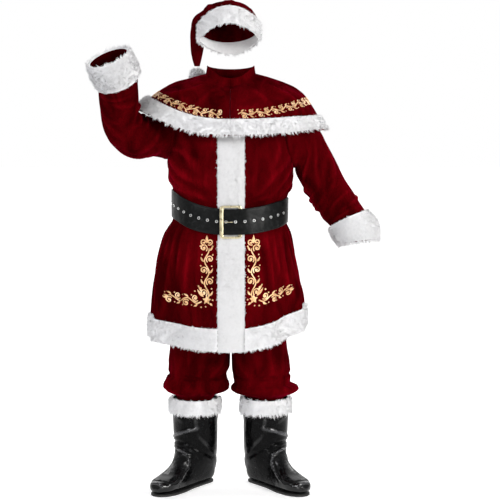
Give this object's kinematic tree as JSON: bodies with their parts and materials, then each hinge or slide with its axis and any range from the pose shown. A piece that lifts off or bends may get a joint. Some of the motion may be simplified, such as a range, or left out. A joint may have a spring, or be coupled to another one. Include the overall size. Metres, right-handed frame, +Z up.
{
  "type": "santa suit",
  "caption": "Crimson velvet santa suit: fur trimmed coat, shoulder cape, trousers, hat, wide belt with buckle, and boots, in a worn pose with one arm raised.",
  "frame": {"origin": "inside the coat, midway between the shoulders and 1.5 m above the boots' soles, where the wearer's shoulders carry the suit", "axes": "+Z up, the suit's front faces -Y, and +X is the side that a person facing it sees on the right"},
  "size_m": [1.0861, 0.5976, 1.8511],
  "materials": {
    "velvet": "crushed dark crimson velvet with a soft sheen",
    "plush": "long white plush pile",
    "belt_leather": "black imitation leather, semi-gloss",
    "boot_leather": "soft black imitation leather, semi-gloss",
    "buckle_metal": "pale gold, brushed",
    "sole_rubber": "matt black"
  },
  "bodies": {
    "root": {"coat_front_left": "velvet", "coat_front_right": "velvet", "coat_back": "velvet", "sleeve_left": "velvet", "sleeve_right": "velvet", "cape": "velvet", "cape_neckband": "velvet", "trouser_left": "velvet", "trouser_right": "velvet", "hat_crown": "velvet", "placket": "plush", "hem_fur": "plush", "cuff_fur_left": "plush", "cuff_fur_right": "plush", "cape_hem_fur": "plush", "boot_fur_left": "plush", "boot_fur_right": "plush", "hat_band": "plush", "hat_pompom": "plush", "belt_strap": "belt_leather", "boot_left": "boot_leather", "boot_right": "boot_leather", "belt_buckle": "buckle_metal", "belt_prong": "buckle_metal", "boot_sole_left": "sole_rubber", "boot_sole_right": "sole_rubber"}
  },
  "joints": []
}
